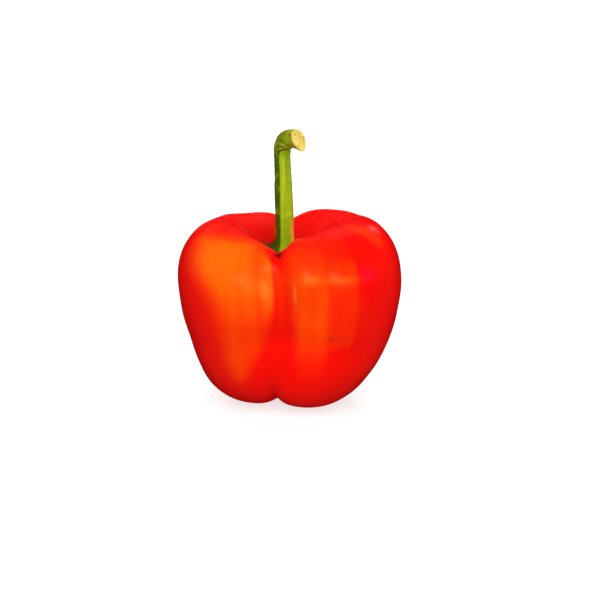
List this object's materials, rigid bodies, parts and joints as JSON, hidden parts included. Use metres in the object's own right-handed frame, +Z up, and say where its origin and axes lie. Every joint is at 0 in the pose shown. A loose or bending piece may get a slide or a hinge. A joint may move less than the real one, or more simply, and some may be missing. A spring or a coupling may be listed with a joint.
{
  "type": "bell pepper",
  "caption": "Whole ripe red bell pepper with broad soft lobes, a recessed top, a green calyx and a ribbed green stem that hooks over at its cut end.",
  "frame": {"origin": "on the surface the pepper stands on, under the middle of its bounding box", "axes": "+Z up along the fruit's axis and the stem, -Y towards the front valley between the two broad lobes, +X to the right seen from the front"},
  "size_m": [0.0828, 0.075, 0.1034],
  "materials": {
    "skin": "smooth waxy red skin with orange flanks, glossy",
    "calyx": "dark green leathery leaf tissue, matte",
    "stem": "ribbed yellow-green stalk with lengthwise fibres and a pale corky cut end, satin"
  },
  "bodies": {
    "root": {"fruit": "skin", "calyx": "calyx", "stem": "stem"}
  },
  "joints": []
}
